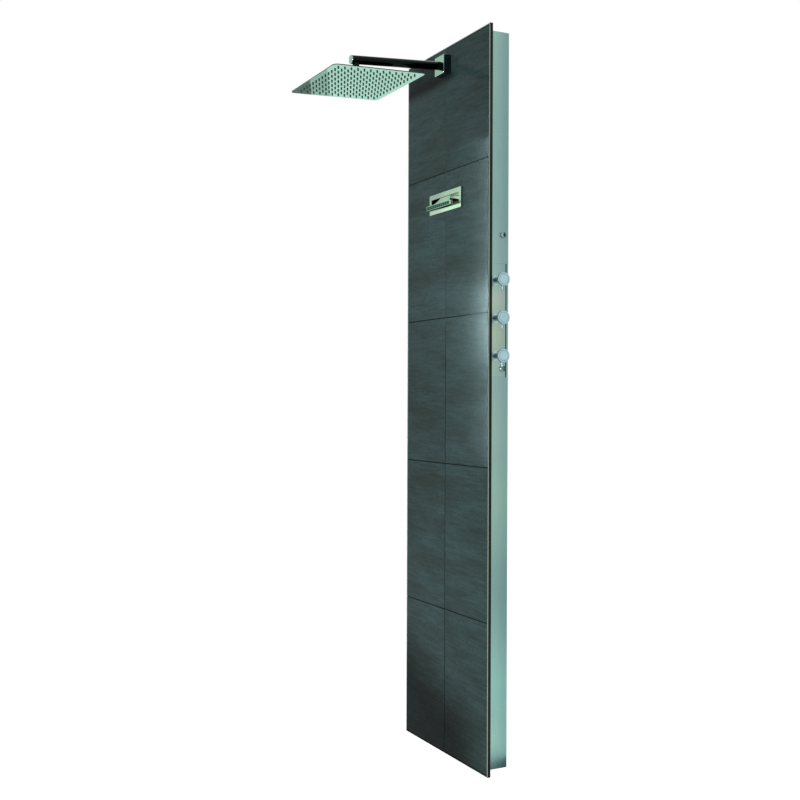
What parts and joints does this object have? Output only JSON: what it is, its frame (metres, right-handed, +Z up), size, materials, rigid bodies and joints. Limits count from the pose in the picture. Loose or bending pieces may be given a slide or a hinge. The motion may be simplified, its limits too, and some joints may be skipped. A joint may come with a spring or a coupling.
{
  "type": "tileable shower column",
  "caption": "Tall wall-hung shower column with a tiled front in a steel tray, square rain head on an arm, cascade spout and round side valve knobs.",
  "frame": {"origin": "on the wall plane, midway between the two screw holes of the upper wall rail", "axes": "+Z up along the column, +Y into the wall, +X to the viewer's right, the side that carries the knobs"},
  "size_m": [0.548, 0.5356, 2.18],
  "materials": {
    "casing_steel": "fine vertical brushed",
    "tray_steel": "satin, dark",
    "bright_steel": "turned",
    "zinc_steel": "zinc plated, satin",
    "adhesive": "dry tile adhesive",
    "grout": "fine matte",
    "porcelain_tile": "matte slate look with faint wavy streaks",
    "brass": "machined",
    "copper": "drawn copper tube",
    "cartridge_plastic": "moulded",
    "dark_chrome": "mirror",
    "knob_chrome": "mirror",
    "polished_chrome": "mirror",
    "plate_steel": "polished",
    "recess_steel": "satin, dark",
    "strip_plastic": "moulded",
    "head_steel": "polished",
    "nozzle_rubber": "soft silicone"
  },
  "bodies": {
    "column": {"casing_front": "casing_steel", "casing_sides": "casing_steel", "casing_ends": "casing_steel", "rear_lips": "casing_steel", "tray_back": "tray_steel", "tray_sides": "tray_steel", "tray_ends": "tray_steel", "tray_rivets": "bright_steel", "tile_bed": "adhesive", "grout": "grout", "tile_left_1": "porcelain_tile", "tile_left_2": "porcelain_tile", "tile_left_3": "porcelain_tile", "tile_left_4": "porcelain_tile", "tile_left_5": "porcelain_tile", "tile_right_1": "porcelain_tile", "tile_right_2": "porcelain_tile", "tile_right_3": "porcelain_tile", "tile_right_4": "porcelain_tile", "tile_right_5": "porcelain_tile", "control_plate": "casing_steel", "valve_bracket": "zinc_steel", "wall_rails": "zinc_steel", "hangers": "zinc_steel", "inlet_bar": "zinc_steel", "valve_bodies": "brass", "cartridges": "cartridge_plastic", "valve_sleeves": "dark_chrome", "manifold": "brass", "inlets": "brass", "hot_pipe": "copper", "cold_pipe": "copper", "arm_pipe": "copper", "cascade_pipe": "copper", "hand_shower_pipe": "copper", "hose_outlet": "dark_chrome", "holder_stub": "dark_chrome", "arm_flange": "polished_chrome", "shower_arm": "polished_chrome", "arm_end_cap": "polished_chrome", "arm_socket": "brass", "cascade_plate": "plate_steel", "cascade_spout": "plate_steel", "flow_strip": "strip_plastic", "cascade_body": "recess_steel", "ball_stem": "dark_chrome"},
    "hot_knob": {"spindle_hot": "bright_steel", "knob_hot": "knob_chrome", "lever_pin_hot": "knob_chrome"},
    "cold_knob": {"spindle_cold": "bright_steel", "knob_cold": "knob_chrome", "lever_pin_cold": "knob_chrome"},
    "diverter_knob": {"spindle_diverter": "bright_steel", "knob_diverter": "knob_chrome", "lever_pin_diverter": "knob_chrome"},
    "ball_seat_ring": {"ball_seat": "cartridge_plastic"},
    "nut": {"swivel_nut": "dark_chrome"},
    "rain_head": {"head_top": "head_steel", "head_face": "head_steel", "nozzle_mat": "nozzle_rubber"}
  },
  "joints": [
    {"name": "hot_turn", "type": "hinge", "parent": "column", "child": "hot_knob", "pos_m": [0.2905, -0.046, -0.512], "axis": [1, 0, 0], "range_deg": [-90, 0]},
    {"name": "cold_turn", "type": "hinge", "parent": "column", "child": "cold_knob", "pos_m": [0.2905, -0.046, -0.622], "axis": [1, 0, 0], "range_deg": [-90, 0]},
    {"name": "diverter_turn", "type": "hinge", "parent": "column", "child": "diverter_knob", "pos_m": [0.2905, -0.046, -0.732], "axis": [1, 0, 0], "range_deg": [-90, 90]},
    {"name": "head_nod", "type": "hinge", "parent": "column", "child": "ball_seat_ring", "pos_m": [0, -0.38062, 0.1059], "axis": [1, 0, 0], "range_deg": [-9, 11]},
    {"name": "head_sway", "type": "hinge", "parent": "ball_seat_ring", "child": "nut", "pos_m": [0, -0.38062, 0.1059], "axis": [0, 0.9983, 0.0576], "range_deg": [-8.5, 11.5]},
    {"name": "head_spin", "type": "hinge", "parent": "nut", "child": "rain_head", "pos_m": [0, -0.38062, 0.1059], "axis": [-0.0262, -0.0575, 0.998], "continuous": true}
  ]
}
